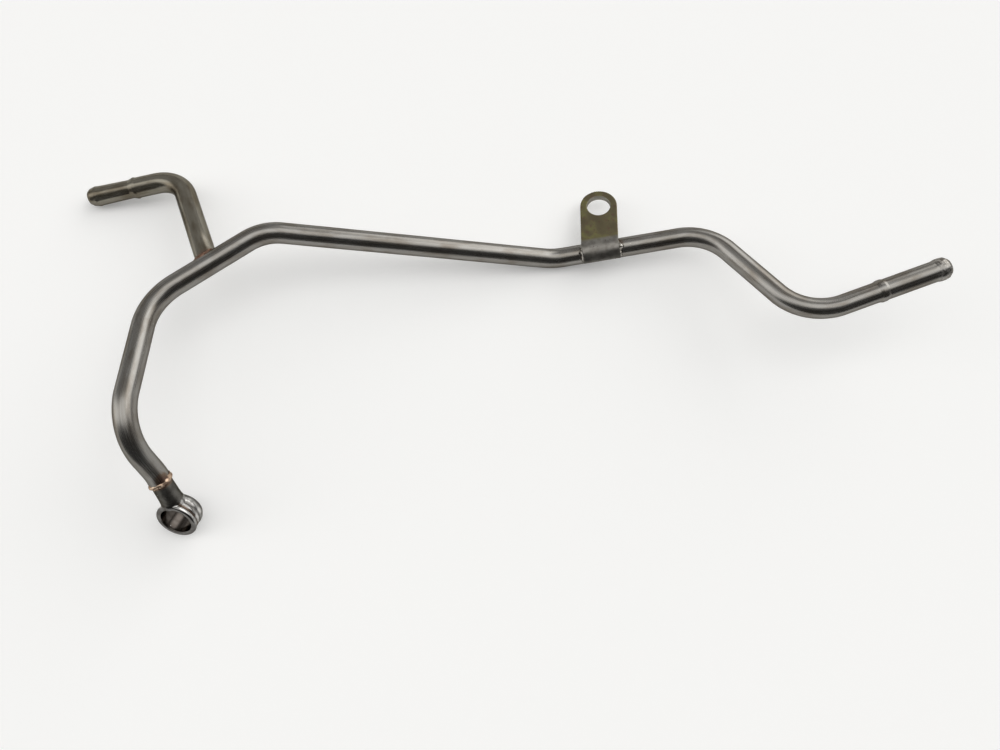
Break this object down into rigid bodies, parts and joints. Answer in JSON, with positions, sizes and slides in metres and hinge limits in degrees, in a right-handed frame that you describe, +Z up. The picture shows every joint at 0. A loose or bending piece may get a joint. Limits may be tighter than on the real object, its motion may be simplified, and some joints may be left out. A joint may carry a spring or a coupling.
{
  "type": "turbo coolant pipe",
  "caption": "Bent steel coolant pipe with a banjo eye at one end, a hose spigot at the other, a brazed branch with its own spigot and a folded mounting bracket.",
  "frame": {"origin": "centre of the footprint's bounding box, on the surface that the pipe lies on", "axes": "+X along the pipe's length towards the main hose spigot, +Y away from the banjo eye, +Z up as it lies"},
  "size_m": [0.416, 0.1778, 0.0581],
  "materials": {
    "tube_steel": "satin drawn tube with light scratches",
    "branch_steel": "satin drawn tube with a warm heat tint",
    "turned_steel": "turned, bright",
    "bracket_steel": "dull sheet with an olive heat tint",
    "copper_braze": "as brazed",
    "grey_braze": "as brazed"
  },
  "bodies": {
    "root": {"main_pipe": "tube_steel", "branch_pipe": "branch_steel", "banjo_fitting": "turned_steel", "bracket": "bracket_steel", "braze_banjo": "copper_braze", "braze_branch": "copper_braze", "braze_bracket_left": "grey_braze", "braze_bracket_right": "grey_braze"}
  },
  "joints": []
}
